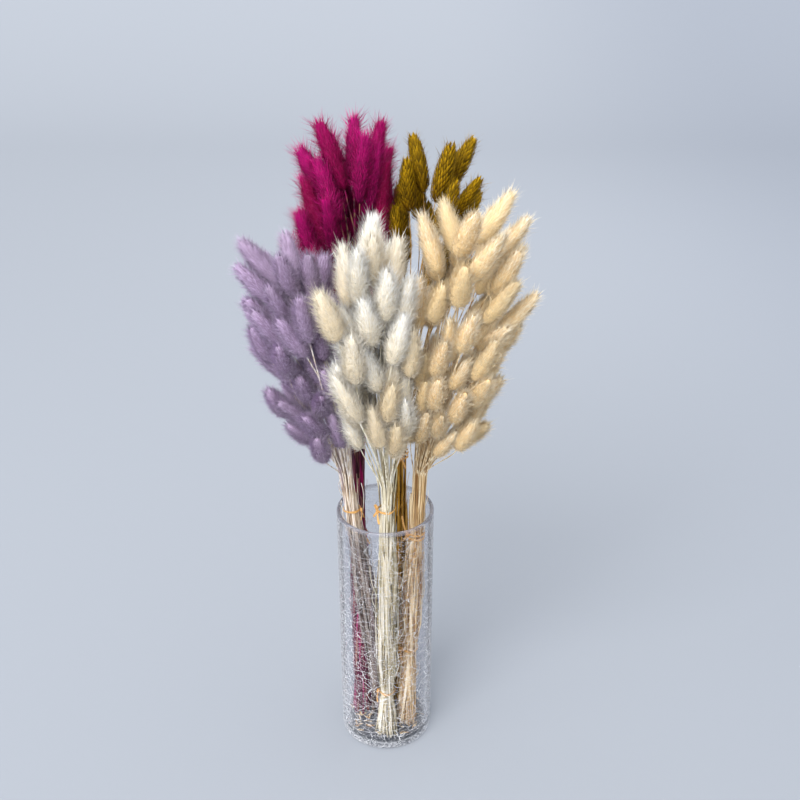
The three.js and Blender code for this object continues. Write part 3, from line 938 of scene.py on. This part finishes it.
def dressed_heads(name, places, hair, shapes, seed):
    """All heads of a bunch: bodies, tufts of hair, bristles at the tips, and husks on coarse heads."""
    rng = np.random.default_rng(seed)
    spike_shape, blade_shape, husk_shape, core_shape = shapes
    base, tip, width = places["base"], places["tip"], places["width"]
    heads = len(base)
    length = np.linalg.norm(tip - base, axis=1)
    axis = unit(tip - base)
    first, _ = across(axis, unit(rng.normal(size=(heads, 3))))
    bend = (first * mix(*HEAD_BEND, rng.random((heads, 1)))) * length[:, None]
    fullness = rng.uniform(*FULLNESS, heads) * SWELL
    waist = hair["waist"] * rng.uniform(*WAIST_VARIES, heads)
    fill = hair["fill"] * rng.uniform(*FILL_VARIES, heads)

    def centre(head, share):
        """The middle of the heads at shares of their length."""
        share = share[:, None]
        return base[head] + axis[head] * length[head][:, None] * share + bend[head] * share**2

    def round_about(head, share, turn):
        """The headings up the bent heads, and out of them at a turn."""
        ahead = unit(axis[head] * length[head][:, None] + 2 * bend[head] * share[:, None])
        one, two = across(ahead, first[head])
        return ahead, one * np.cos(turn)[:, None] + two * np.sin(turn)[:, None]

    def bulge(points, head):
        """The direction that a soft body of the head's size faces at the points."""
        away = points - (base[head] + axis[head] * (length[head] * 0.42)[:, None])[:, None]
        ahead = axis[head][:, None]
        forth = np.sum(away * ahead, axis=2, keepdims=True)
        return unit((away - forth * ahead) / (width[head] ** 2)[:, None, None]
                    + ahead * forth / ((length[head] * 1.15) ** 2)[:, None, None])

    def mapped(head, share, shape):
        """Where the points of hairs lie on the strand map."""
        points, _ = shape
        at = share[:, None] + 0.003 * points[None, :, 0]
        u = (head[:, None] + MAP_EDGE + (1 - 2 * MAP_EDGE) * np.clip(at, 0, 1)) / heads
        v = np.broadcast_to(0.02 + 0.96 * points[None, :, 1], u.shape)
        return np.stack([u, v], axis=2)

    def rooted(count, low, high):
        """Roots for each head, evenly strewn over its body between two shares of the length."""
        grid = np.linspace(low, high, 200)
        strewn = np.cumsum(outline(grid, hair["waist"], hair["fill"]) + 0.15)
        strewn = (strewn - strewn[0]) / (strewn[-1] - strewn[0])
        order = np.arange(count)
        share = np.interp((order + 0.5) / count, strewn, grid)
        head = np.repeat(np.arange(heads), count)
        turn = np.tile(order * 2 * math.pi * GOLDEN, heads) + np.repeat(rng.random(heads) * 6.3, count)
        return head, np.tile(share, heads), turn

    def surface(head, share, turn, deep=1.0):
        """Points of the body, with the headings up along it, out of it and up the head."""
        ahead, radial = round_about(head, share, turn)
        size = width[head] / 2 * hair["core"] * fullness[head] * deep
        radius = (size * outline(share, waist[head], fill[head]))[:, None]
        step = 0.02
        wider, narrower = (outline(share + s, waist[head], fill[head]) for s in (step, -step))
        grown = size * (wider - narrower) / (2 * step)
        slope = np.clip(grown / length[head], -1.6, 1.6)[:, None]
        point = centre(head, share) + radial * radius
        return point, unit(ahead + radial * slope), unit(radial - ahead * slope), ahead

    def soften(points, head, face, amount):
        """Facings of the points, from the hairs' own to those of the head as a whole."""
        own = np.broadcast_to(face[:, None], points.shape)
        return unit(mix(own, bulge(points, head), amount))

    def strands(shape, count, span, crowd, size, lift, curl, loose, soft):
        """Hairs in crowds that grow from one spot each. lift and the length vary from hair to hair,
        curl turns the ends up, loose strews the headings, and soft evens out the shading."""
        head, mark, turn = (np.repeat(v, crowd) for v in rooted(count, *span))
        total = len(head)
        share = np.clip(mark + rng.normal(size=total) * CROWD_ALONG, 0.01, span[1])
        turn = turn + rng.normal(size=total) * CROWD_ROUND
        point, along, out, ahead = surface(head, share, turn, HAIR_SUNK)
        lifted = (lift * rng.uniform(*LIFT_VARIES, total))[:, None]
        start = unit(along + out * lifted + rng.normal(size=(total, 3)) * loose)
        end = unit(mix(start, ahead, curl) + rng.normal(size=(total, 3)) * loose * 0.7)
        side = unit(np.cross(start, out))
        roll = rng.uniform(-HAIR_ROLL, HAIR_ROLL, total)[:, None]
        face = np.cross(side, start)
        side, face = side * np.cos(roll) + face * np.sin(roll), face * np.cos(roll) - side * np.sin(roll)
        long = size[0] * mix(*LENGTH_ALONG, share) * rng.uniform(*LENGTH_VARIES, total)
        wide = size[1] * rng.uniform(*WIDTH_VARIES, total)
        points = laid(shape, point, start, end, side, face, long, wide)
        parts.append((points, shape[1], mapped(head, mark, shape), soften(points, head, face, soft)))

    parts = []

    core_points, core_faces = core_shape
    head = np.repeat(np.arange(heads), len(core_points))
    share = np.tile(core_points[:, 2], heads) * CORE_TOP
    turn = np.tile(np.arctan2(core_points[:, 1], core_points[:, 0]), heads)
    rim = np.tile(np.hypot(core_points[:, 0], core_points[:, 1]), heads)
    level = np.clip(share, 0.004, CORE_TOP)
    middle = centre(head, level)
    point = middle + (surface(head, level, turn)[0] - middle) * rim[:, None]
    shaped = point.reshape(heads, -1, 3)
    facing = bulge(shaped, np.arange(heads))
    u = (head + MAP_EDGE + (1 - 2 * MAP_EDGE) * share) / heads
    v = 0.04 + 0.03 * np.sin(turn)
    parts.append((shaped, core_faces, np.stack([u, v], 1).reshape(heads, -1, 2), facing))

    long, wide = hair["hair"]
    lift, tufts, fan = hair["lift"], hair["tufts"], hair["fan"]
    body = (0.015, 0.92)
    lock, stray = (long * 1.1, hair["lock"]), (long * 1.35, wide)
    tuft = dict(shape=blade_shape, count=tufts, span=body, crowd=hair["locks"], size=lock)
    strands(**tuft, lift=lift * 0.55, curl=0.3, loose=0.12, soft=0.65)
    tuft |= dict(shape=spike_shape, crowd=hair["down"], size=(long, wide))
    strands(**tuft, lift=lift * 1.1, curl=0, loose=0.16, soft=0.7)
    single = dict(shape=spike_shape, count=hair["strays"], span=body, crowd=1, size=stray)
    strands(**single, lift=lift * 2.1, curl=0.2, loose=0.25, soft=0.6)
    single |= dict(shape=blade_shape, count=hair["bristles"], span=(0.15, 0.93), size=hair["bristle"])
    strands(**single, lift=fan * 1.3, curl=0.2, loose=0.25, soft=0.5)

    if hair["husks"]:
        head, share, turn = rooted(hair["husks"], 0.02, 0.93)
        count = len(head)
        point, along, out, ahead = surface(head, share, turn, 1.05)
        start = unit(along + out * 0.4)
        end = unit(start + ahead * 0.8 + rng.normal(size=(count, 3)) * 0.1)
        side = unit(np.cross(start, out))
        face = np.cross(side, start)
        long, wide = rng.uniform(*HUSK_LENGTH, count), rng.uniform(*HUSK_WIDTH, count)
        points = laid(husk_shape, point, start, end, side, face, long, wide)
        facing = soften(points, head, face, 0.35)
        parts.append((points, husk_shape[1], mapped(head, share, husk_shape), facing))

    return joined(name, parts)


# Stems

def tied(bunch, height, reach):
    """How tightly the stems are held at a height: 1 at a tie, and fading with reach on both sides."""
    return sum(np.exp(-(((height - tied_at) / reach) ** 2)) for tied_at, _ in bunch["ties"])


def bundle_share(bunch, height):
    """The share of the bundle's rise that a height has reached."""
    low, high, _ = bundle_line(bunch)
    return (height - low[2]) / (high[2] - low[2])


def bundle_middle(bunch, height):
    """The middle of the bundle at a height, or at each of several."""
    low, high, _ = bundle_line(bunch)
    return mix(low, high, np.asarray(bundle_share(bunch, height))[..., None])


def tied_radius(bunch, height):
    """The radius of the tied stems at a height: the bundle's, drawn in where it is tied, and looser
    in the vase and at the foot."""
    radius = bundle_radius(bundle_share(bunch, height)) * (1 - TIE_SQUEEZE * tied(bunch, height, TIE_REACH))
    slack = np.clip((LOOSE_FROM - height) / (LOOSE_FROM - LOOSE_AT), 0, 1)
    loose = slack * (1 - tied(bunch, height, SLACK_REACH))
    splay = FOOT_SPLAY * np.exp(-(height - bundle_line(bunch)[0][2]) / FOOT_RISE)
    return radius * (1 + LOOSENESS * loose) * (1 + splay)


def in_vase(path, margin):
    """The path with all up to just above the rim drawn in to a margin from the vase's wall."""
    reach = np.hypot(path[:, 0], path[:, 1])
    room = np.where(path[:, 2] < VASE_HEIGHT + 8, VASE_RADIUS - WALL - margin, 1e3)
    inward = np.minimum(1, room / np.maximum(reach, 1e-6))
    return path * np.stack([inward, inward, np.ones(len(path))], 1)


def spokes(angle):
    """Level headings out at the angles, and the ones round from them."""
    radial = np.stack([np.cos(angle), np.sin(angle), np.zeros(len(angle))], 1)
    return radial, np.stack([-radial[:, 1], radial[:, 0], radial[:, 2]], 1)


def bundle_seats(bunch, roots, count):
    """Where stems stand in the bundle's round section, of radius 1: first, for each head, the free seat
    nearest to its stem's root, and then the seats left over."""
    order = np.arange(count)
    out = np.sqrt((order + 0.5) / count)
    turn = 2 * math.pi * GOLDEN * order
    seats = np.stack([out * np.cos(turn), out * np.sin(turn)], 1)
    _, high, up = bundle_line(bunch)
    wanted = (roots - (high - up * STEM_SINK))[:, :2] / (bundle_radius(1) - FLUTE_DEPTH - STEM_RADIUS)
    free = list(range(count))
    taken = np.zeros(len(roots), int)
    for head in np.argsort(-np.linalg.norm(wanted, axis=1)):
        taken[head] = min(free, key=lambda seat: np.hypot(*(seats[seat] - wanted[head])))
        free.remove(taken[head])
    return seats[[*taken, *free]]


def stem_paths(bunch, places, bare):
    """The line of each stem, from its cut foot through the bundle, and on to its head or, for a bare
    straw, to where it is broken off. With each its radius and its shade, 0 dark to 1 light: a random
    tone, with painted shade deep in the bundle and painted light on the free part above it."""
    rng = np.random.default_rng(bunch["seed"] + 5)
    low, high, _ = bundle_line(bunch)
    heads = len(places["base"])
    onwards = crown_line(bunch, 0.0)[1]
    twist = STRAW_TWIST * (1 if bunch["seed"] % 2 else -1)
    paths = []
    for number, seat in enumerate(bundle_seats(bunch, places["root"], heads + bare)):
        thick = rng.uniform(*STRAW_RADIUS)
        reach = math.hypot(*seat)
        # Painted shade: stems deep in the bundle are darker, besides a random tone.
        shade = rng.uniform(0, 0.35) + 0.65 * reach * rng.uniform(0.2, 1)
        bearing = math.atan2(seat[1], seat[0])
        foot = rng.normal(size=2) * FOOT_SCATTER
        points = []
        for share in STRAW_SHARES:
            middle = mix(low, high, share)
            radius = (tied_radius(bunch, middle[2]) - thick) * reach
            angle = bearing + twist * (share - 1) + 0.12 * math.sin(11 * share + number)
            sway = STRAW_SWAY * math.sin(17 * share + 2.1 * number) * math.sin(math.pi * share)
            sway = sway * (1 - tied(bunch, middle[2], SWAY_REACH))
            point = middle + np.array([math.cos(angle), math.sin(angle), 0]) * (radius + sway)
            point[:2] += foot * math.exp(-share / 0.05)
            points.append(point)
        points[0][2] += rng.uniform(*FOOT_LIFT)
        if number < heads:
            base, tip = places["base"][number], places["tip"][number]
            ahead = unit(tip - base)
            neck = points[-1]
            rise = np.linalg.norm(base - neck)
            start = neck + mix(onwards, unit(neck - points[-2]), 0.3) * rise * STEM_START
            controls = neck, start, base - ahead * rise * STEM_END, base
            points += [bezier(controls, share) for share in CROWN_SHARES]
            points.append(base + ahead * np.linalg.norm(tip - base) * HELD_IN_HEAD)
            sizes = np.interp(np.arange(len(points)), *STRAW_TAPER) * thick
        else:
            keep = max(5, int(len(points) * rng.uniform(0.5, 1.0)))
            points = points[:keep]
            if keep == len(STRAW_SHARES):
                lean = unit(onwards + np.array([*seat, 0]) * rng.uniform(0.1, 0.3))
                further = rng.uniform(*BROKEN_REACH)
                points += [points[-1] + lean * further * 0.5, points[-1] + lean * further]
            sizes = np.full(len(points), thick)
        sizes = sizes * (1 + 0.16 * np.sin(np.arange(len(points)) * 1.7 + number * 2.3))
        # Painted light: the free parts above the bundle are lighter.
        above = np.arange(len(points)) >= len(STRAW_SHARES)
        paths.append((in_vase(np.array(points), margin=1.5), sizes, mix(shade, 1, 0.5 * above)))
    return paths


def shaded(piece, shades):
    """Gives each point of a piece of straw its shade, 0 dark to 1 light, which its colour follows: a tone,
    and on the stems also painted shade and light.
    """
    piece.data.attributes.new("shade", "FLOAT", "POINT").data.foreach_set("value", shades)


def tubes(name, paths, detail=0):
    """Round strands along paths, made as one curve and turned into a mesh. Each is (path, sizes,
    shades)."""
    curve = bpy.data.curves.new(name, "CURVE")
    curve.dimensions = "3D"
    curve.bevel_depth = MM
    curve.bevel_resolution = detail
    for points, sizes, _ in paths:
        spline = curve.splines.new("POLY")
        spline.points.add(len(points) - 1)
        spline.points.foreach_set("co", np.hstack([points * MM, np.ones((len(points), 1))]).ravel())
        spline.points.foreach_set("radius", np.asarray(sizes, float))
        spline.use_smooth = True
    choose(added(name, curve))
    bpy.ops.object.convert(target="MESH")
    strand = bpy.context.object
    shades = np.concatenate([path[2] for path in paths])
    shaded(strand, np.repeat(shades, len(strand.data.vertices) // len(shades)))
    start_editing(strand)
    bpy.ops.mesh.select_all(action="SELECT")
    bpy.ops.mesh.fill_holes(sides=8)
    stop_editing()
    return strand


def ribbons(name, strips, thickness):
    """Flat strips, crowned along their middle and given a thickness. Each is (path, across, widths)."""
    points, faces = [], []
    for path, side, widths in strips:
        ahead = unit(np.gradient(path, axis=0))
        face = unit(np.cross(side, ahead))
        start = len(points)
        half = np.asarray(widths)[:, None] / 2
        rows = np.stack([path - side * half, path + face * half * 0.18, path + side * half], 1)
        points += list(rows.reshape(-1, 3))
        for row in range(len(path) - 1):
            a = start + 3 * row
            faces += [(a, a + 1, a + 4, a + 3), (a + 1, a + 2, a + 5, a + 4)]
    mesh = bpy.data.meshes.new(name)
    mesh.from_pydata([tuple(p * MM) for p in points], [], faces)
    strip = added(name, mesh)
    own = 0.3 + 0.7 * (np.arange(len(strips)) * 0.618 % 1)
    shaded(strip, np.repeat(own, [3 * len(path) for path, *_ in strips]))
    choose(strip)
    wall = strip.modifiers.new("thickness", "SOLIDIFY")
    wall.thickness = thickness * MM
    wall.offset = 0
    bpy.ops.object.modifier_apply(modifier=wall.name)
    smooth(50)
    return strip


def sheaths(bunch, count, widths):
    """Dry leaf sheaths that lie along the outside of the tied stems and curl off at their ends."""
    rng = np.random.default_rng(bunch["seed"] + 9)
    strips = []
    for number in range(count):
        bearing = rng.uniform(0, 2 * math.pi)
        drift = rng.uniform(-0.5, 0.5)
        bottom = rng.uniform(*SHEATH_FOOT)
        top = min(bottom + rng.uniform(*SHEATH_LENGTH), SHEATH_TOP)
        wide = rng.uniform(*widths)
        share = np.linspace(0, 1, max(7, int((top - bottom) / SHEATH_STEP)))
        height = mix(bottom, top, share)
        curl_off = np.maximum(0, share - CURL_FROM) * rng.uniform(*CURL)
        radius = tied_radius(bunch, np.minimum(height, NECK_HEIGHT)) + SHEATH_OFF + curl_off
        radial, side = spokes(bearing + drift * share + 0.06 * np.sin(share * 11 + number))
        roll = (0.35 * np.sin(share * 7 + number) + 1.6 * np.maximum(0, share - 0.8))[:, None]
        side = side * np.cos(roll) + radial * np.sin(roll)
        path = bundle_middle(bunch, height) + radial * radius[:, None]
        taper = wide * np.interp(share, [0, 0.1, 0.8, 1], [0.5, 1, 0.8, 0.15])
        strips.append((in_vase(path, margin=3.5), side, taper))
    return strips


def wisps(bunch, count):
    """Fine loose fibres that stand off the tied stems, every fourth a long one."""
    rng = np.random.default_rng(bunch["seed"] + 13)
    share = np.linspace(0, 1, WISP_POINTS)
    paths = []
    for number in range(count):
        bearing = rng.uniform(0, 2 * math.pi)
        height = rng.uniform(*WISP_FOOT)
        lengths, thick = SHORT_WISP if number % 4 else LONG_WISP
        long = rng.uniform(*lengths)
        stand = np.sin(share * math.pi * rng.uniform(0.4, 1.1)) * rng.uniform(0.05, 0.16) * long
        radial, _ = spokes(bearing + rng.uniform(-0.9, 0.9) * share)
        radius = tied_radius(bunch, np.full(WISP_POINTS, height)) + stand
        path = bundle_middle(bunch, height + long * 0.7 * share) + radial * radius[:, None]
        sizes, shades = np.linspace(thick, thick * 0.6, WISP_POINTS), np.full(WISP_POINTS, WISP_SHADE)
        paths.append((in_vase(path, margin=1), sizes, shades))
    return paths


def merged(*pieces):
    """The pieces joined into the first."""
    choose(*pieces)
    bpy.ops.object.join()
    return pieces[0]


# Ties

def raffia_tie(bunch, height, bearing, wraps=1, bow=0, tails=TAILS):
    """A flat band with a knot and two ends and, where bow is -1 or 1, a loop to that side of it."""
    rng = np.random.default_rng(int(height) + bunch["seed"])
    centre = bundle_middle(bunch, height)
    radius = tied_radius(bunch, height) + RAFFIA_OFF
    outward = towards(math.radians(bearing))
    beside = np.array([-outward[1], outward[0], 0.0])
    up = np.array([0.0, 0.0, 1.0])
    knot = centre + outward * (radius + KNOT_OFF)
    strips = []

    def knotted(sideways, upwards, off, facing):
        """Adds a strip by its distances from the knot."""
        path = knot + beside * sideways[:, None] + up * upwards[:, None] + outward * off[:, None]
        strips.append((path, np.broadcast_to(unit(facing), path.shape), np.full(len(path), KNOT_WIDTH)))

    for wrap in range(wraps):
        turn = np.linspace(-0.06, 2 * math.pi + 0.06, 40)
        slant = rng.uniform(-0.9, 0.9) * np.cos(turn + wrap)
        level = (wrap - (wraps - 1) / 2) * WRAP_RISE + slant + 0.2 * np.sin(3 * turn)
        rim = radius + 0.25 * wrap + 0.12 * np.sin(5 * turn + wrap)
        radial = outward * np.cos(turn)[:, None] + beside * np.sin(turn)[:, None]
        roll = (0.25 * np.sin(2 * turn + height))[:, None]
        side = up * np.cos(roll) + radial * np.sin(roll)
        path = centre + radial * rim[:, None] + up * level[:, None]
        strips.append((path, side, RAFFIA_WIDTH + 0.35 * np.sin(4 * turn + height)))
    curl = np.linspace(0, 2 * math.pi * 1.15, 18)
    off = 0.5 + 0.6 * np.sin(curl * 0.5)
    knotted(1.7 * np.cos(curl), 1.9 * np.sin(curl), off, facing=outward + 0.2 * up)
    for lean, long, stand, turn in tails:
        tilt = math.radians(lean + rng.uniform(-6, 6))
        share = np.linspace(0, 1, 8)
        down = -up * math.cos(tilt) + beside * math.sin(tilt)
        path = knot + down * (share * long)[:, None]
        path = path + outward * (0.5 + 1.6 * np.sin(share * 2.2) + stand * share)[:, None]
        roll = (turn + share * rng.uniform(0.4, 1.1))[:, None]
        side = unit(np.cross(down, outward)) * np.cos(roll) + outward * np.sin(roll)
        strips.append((in_vase(path, margin=3), side, np.interp(share, [0, 0.2, 1], [1.3, 2.2, 2.0])))
    if bow:
        loop = np.linspace(0, 1, 16)
        swing = np.sin(loop * math.pi)
        sideways = bow * 2.6 * np.sin(loop * 2 * math.pi) + bow * 2.2 * swing
        knotted(sideways, 7.0 * swing, 0.6 + 1.2 * swing, facing=outward + 0.3 * beside)
    return ribbons("tie", strips, RAFFIA_THICKNESS)


# Vase

def crackle_vase():
    """A clear cylinder, hollowed from above down to its thick floor, with rounded edges."""
    bpy.ops.mesh.primitive_cylinder_add(
        vertices=128, radius=VASE_RADIUS * MM, depth=VASE_HEIGHT * MM, location=(0, 0, VASE_HEIGHT * MM / 2)
    )
    vase = bpy.context.object
    bpy.ops.object.transform_apply(location=True, rotation=True, scale=True)
    start_editing(vase)
    pick("faces", lambda face: face.normal.z > 0.9)
    bpy.ops.mesh.inset(thickness=WALL * MM)
    extrude(0, 0, (FLOOR - VASE_HEIGHT) * MM)

    def ring(edge, height, radius):
        return all(
            abs(v.co.z - height * MM) < 1e-5 and abs(math.hypot(v.co.x, v.co.y) - radius * MM) < 1e-5
            for v in edge.verts
        )

    def at_rim(edge):
        return ring(edge, VASE_HEIGHT, VASE_RADIUS) or ring(edge, VASE_HEIGHT, VASE_RADIUS - WALL)

    round_off(at_rim, RIM_ROUNDING * MM, segments=6)
    round_off(lambda edge: ring(edge, 0, VASE_RADIUS), FOOT_ROUNDING * MM, segments=7)
    round_off(lambda edge: ring(edge, FLOOR, VASE_RADIUS - WALL), FLOOR_ROUNDING * MM, segments=4)
    stop_editing()
    smooth(40)
    return vase


def fallen_bits(count):
    """Broken straw and husks that have dropped to the vase's floor, without the ones that would reach
    its wall."""
    rng = np.random.default_rng(4)
    share = np.linspace(-0.5, 0.5, 3)
    strips = []
    for _ in range(count):
        spot = towards(rng.uniform(0, 2 * math.pi)) * (BIT_SPREAD * math.sqrt(rng.random()))
        heading = towards(rng.uniform(0, 2 * math.pi))
        long = rng.uniform(*BIT_LENGTH)
        path = spot + heading * (share * long)[:, None]
        path[:, 2] = FLOOR + rng.uniform(0.6, 1.6) + 0.5 * share**2
        if np.hypot(path[:, 0], path[:, 1]).max() > BIT_REACH:
            continue
        side = np.broadcast_to(unit(np.cross([0, 0, 1.0], heading)), path.shape)
        strips.append((path, side, np.array([0.5, 1.0, 0.4]) * rng.uniform(0.8, 2.0)))
    return ribbons("fallen_bits", strips, BIT_THICKNESS)


# Stage, light and camera

def pale_stage():
    """A wide floor that sweeps up into a back wall."""
    bpy.ops.mesh.primitive_plane_add(size=STAGE_SIDE, location=(0, 0, 0))
    floor = bpy.context.object
    start_editing(floor)
    back = STAGE_SIDE / 2 - 1
    beyond(back)
    extrude(0, 0, STAGE_BACK)
    round_off(lambda edge: all(v.co.y > back and v.co.z < 0.1 for v in edge.verts), STAGE_SWEEP, segments=24)
    stop_editing()
    smooth(40)
    floor.name = floor.data.name = "pale_floor"
    floor.data.materials.append(paper_finish())
    bpy.ops.object.select_all(action="DESELECT")


def lamp(name, place, aim, size, power):
    """A round softbox at a place, turned to face its aim."""
    light = bpy.data.lights.new(name, "AREA")
    light.shape = "DISK"
    light.size = size
    light.energy = power
    light.color = LAMP_WHITE
    holder = added(name, light)
    place, aim = np.array(place, float), np.array(aim, float)
    holder.location = place
    ahead = unit(aim - place)
    holder.rotation_euler = (math.acos(-ahead[2]), 0, math.atan2(ahead[0], -ahead[1]) + math.pi)


def light_and_camera():
    """A bright room, a soft key light from the left, two softboxes and the photo's camera."""
    scene = bpy.context.scene
    scene.view_settings.view_transform = "Standard"
    scene.view_settings.look = "None"
    world = bpy.data.worlds.new("soft_room")
    world.use_nodes = True
    glow = world.node_tree.nodes["Background"].inputs
    glow["Color"].default_value = (0.93, 0.96, 1.0, 1)
    glow["Strength"].default_value = 1.1
    scene.world = world
    key = bpy.data.lights.new("key_light", "SUN")
    key.energy = 2.8
    key.angle = math.radians(40)
    key.color = (1.0, 0.99, 0.975)
    added("key_light", key).rotation_euler = (math.radians(47), 0, math.radians(-26))
    lamp("fill_softbox", place=(-1.5, -0.9, 1.3), aim=(0, 0, 0.3), size=1.4, power=8)
    lamp("back_softbox", place=(0.62, 1.75, 1.3), aim=(0.62, 1.76, 0), size=1.0, power=2.5)
    camera = bpy.data.cameras.new("camera")
    camera.sensor_width = 36
    camera.lens = 47.16
    camera.clip_end = 60
    eye = added("camera", camera)
    eye.location = (0.0158, -0.952, 0.895)
    eye.rotation_euler = (math.radians(63.62), 0, 0)
    scene.camera = eye


pale_stage()
light_and_camera()

finished(crackle_vase(), "crackle_vase", glass_finish(), "glass", "vase")

shapes = spike(), blade(), husk(), head_core()
raffia = raffia_finish()
for colour, bunch in BUNCHES.items():
    places = head_places(bunch)
    heads = dressed_heads(f"{colour}_heads", places, HAIR[colour], shapes, bunch["seed"])
    hair = hair_finish(f"{colour}_hair", bunch["heads"], HAIR_COLOURS[colour])
    finished(heads, f"{colour}_heads", hair, f"grass_{colour}", f"bunch_{colour}")
    stems = merged(
        tubes("stems", stem_paths(bunch, places, BARE_STRAWS), detail=1),
        ribbons("sheaths", sheaths(bunch, *SHEATHS[colour]), SHEATH_THICKNESS),
        tubes("wisps", wisps(bunch, WISPS)),
    )
    straw = straw_finish(f"{colour}_straw", **STRAWS[colour])
    finished(stems, f"{colour}_stems", straw, f"grass_{colour}", f"bunch_{colour}")
    for number, (height, bearing) in enumerate(bunch["ties"], 1):
        tie = raffia_tie(bunch, height, bearing, **TIES_APART.get((colour, number), {}))
        finished(tie, f"{colour}_tie_{number}", raffia, "raffia", f"bunch_{colour}_tie_{number}")

finished(fallen_bits(BITS), "fallen_bits", bpy.data.materials["natural_straw"], "grass_natural")
